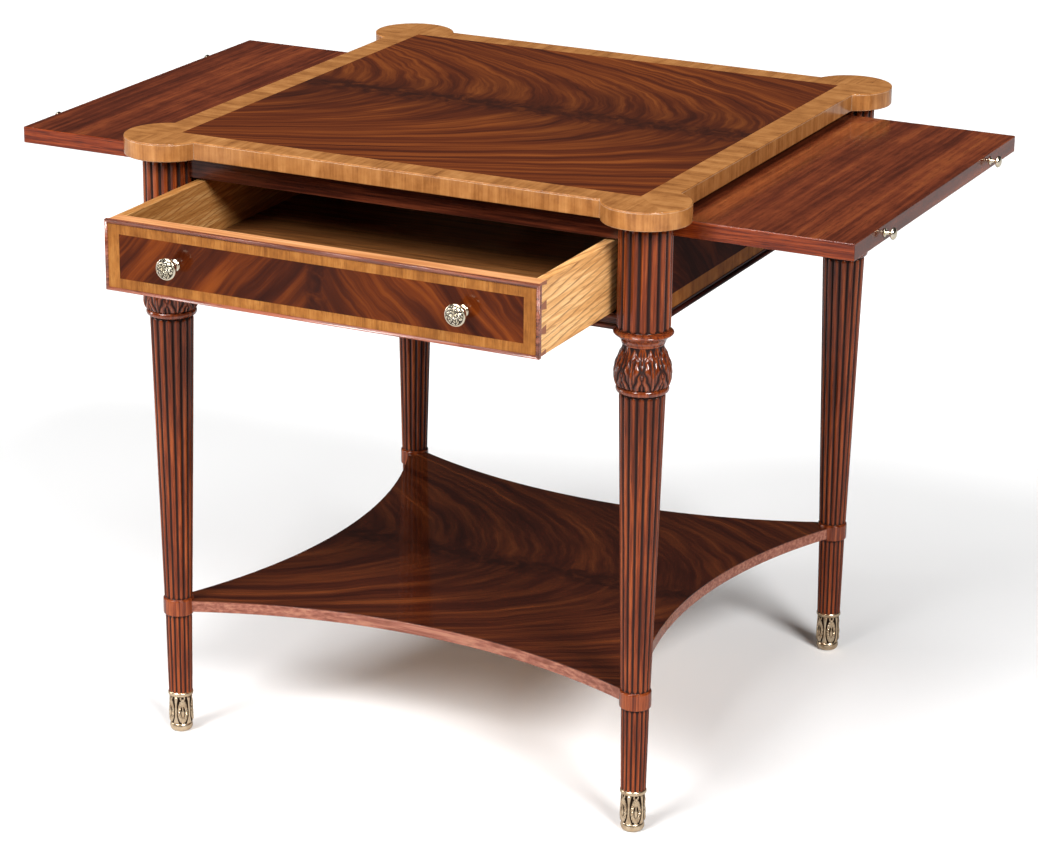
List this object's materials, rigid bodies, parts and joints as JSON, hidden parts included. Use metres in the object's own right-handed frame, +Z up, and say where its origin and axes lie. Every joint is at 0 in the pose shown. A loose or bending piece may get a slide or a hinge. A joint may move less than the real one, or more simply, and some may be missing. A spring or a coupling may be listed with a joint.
{
  "type": "side table with drawer and slides",
  "caption": "Square side table with round corner ears, reeded turned legs with brass ferrules, a drawer in front, a pull-out slide at each side and a concave-sided lower shelf.",
  "frame": {"origin": "on the floor, midway between the axes of the four legs", "axes": "+Z up from the floor; the drawer opens towards -Y; the slides pull out along -X and +X"},
  "size_m": [1.0324, 0.8269, 0.711],
  "materials": {
    "flame_mahogany": "high gloss lacquer",
    "crossbanding": "high gloss lacquer",
    "turned_mahogany": "gloss lacquer",
    "solid_mahogany": "gloss lacquer",
    "slide_mahogany": "high gloss lacquer",
    "oak": "satin",
    "drawer_core": "satin",
    "secondary_wood": "unpolished",
    "polished_brass": "polished",
    "antique_brass": "antiqued",
    "steel": "zinc plated"
  },
  "bodies": {
    "frame": {"apron_bands": "crossbanding", "apron_beads": "solid_mahogany", "back_field": "flame_mahogany", "back_rail": "solid_mahogany", "drawer_guide_left": "secondary_wood", "drawer_guide_right": "secondary_wood", "drawer_runner_left": "secondary_wood", "drawer_runner_right": "secondary_wood", "drawer_stop_blocks": "secondary_wood", "ferrule_back_left": "antique_brass", "ferrule_back_right": "antique_brass", "ferrule_front_left": "antique_brass", "ferrule_front_right": "antique_brass", "front_bottom_rail": "solid_mahogany", "front_top_rail": "solid_mahogany", "leg_back_left": "turned_mahogany", "leg_back_right": "turned_mahogany", "leg_front_left": "turned_mahogany", "leg_front_right": "turned_mahogany", "shelf_banding": "solid_mahogany", "shelf_board": "secondary_wood", "shelf_dowels": "secondary_wood", "shelf_veneer": "flame_mahogany", "side_field_left": "flame_mahogany", "side_field_right": "flame_mahogany", "side_rail_left": "solid_mahogany", "side_rail_right": "solid_mahogany", "slide_centre_stop": "secondary_wood", "slide_guide_back": "secondary_wood", "slide_guide_front": "secondary_wood", "slide_stop_strip_left": "secondary_wood", "slide_stop_strip_right": "secondary_wood", "top_band_back": "crossbanding", "top_band_front": "crossbanding", "top_band_left": "crossbanding", "top_band_right": "crossbanding", "top_board": "secondary_wood", "top_dowels": "secondary_wood", "top_field": "flame_mahogany", "top_lipping": "crossbanding", "top_screws": "steel"},
    "drawer": {"drawer_back": "oak", "drawer_bottom": "oak", "drawer_bottom_screws": "steel", "drawer_cockbead": "solid_mahogany", "drawer_crossband": "crossbanding", "drawer_field": "flame_mahogany", "drawer_front": "drawer_core", "drawer_knob_left": "polished_brass", "drawer_knob_right": "polished_brass", "drawer_knob_screws": "steel", "drawer_side_left": "oak", "drawer_side_right": "oak"},
    "slide_left": {"slide_board_left": "slide_mahogany", "slide_knobs_left": "polished_brass", "slide_pegs_left": "secondary_wood"},
    "slide_right": {"slide_board_right": "slide_mahogany", "slide_knobs_right": "polished_brass", "slide_pegs_right": "secondary_wood"}
  },
  "joints": [
    {"name": "drawer_slide", "type": "slide", "parent": "frame", "child": "drawer", "axis": [0, -1, 0], "range_m": [-0.18, 0.12]},
    {"name": "slide_left_pull", "type": "slide", "parent": "frame", "child": "slide_left", "axis": [-1, 0, 0], "range_m": [-0.211, 0]},
    {"name": "slide_right_pull", "type": "slide", "parent": "frame", "child": "slide_right", "axis": [1, 0, 0], "range_m": [-0.211, 0]}
  ]
}
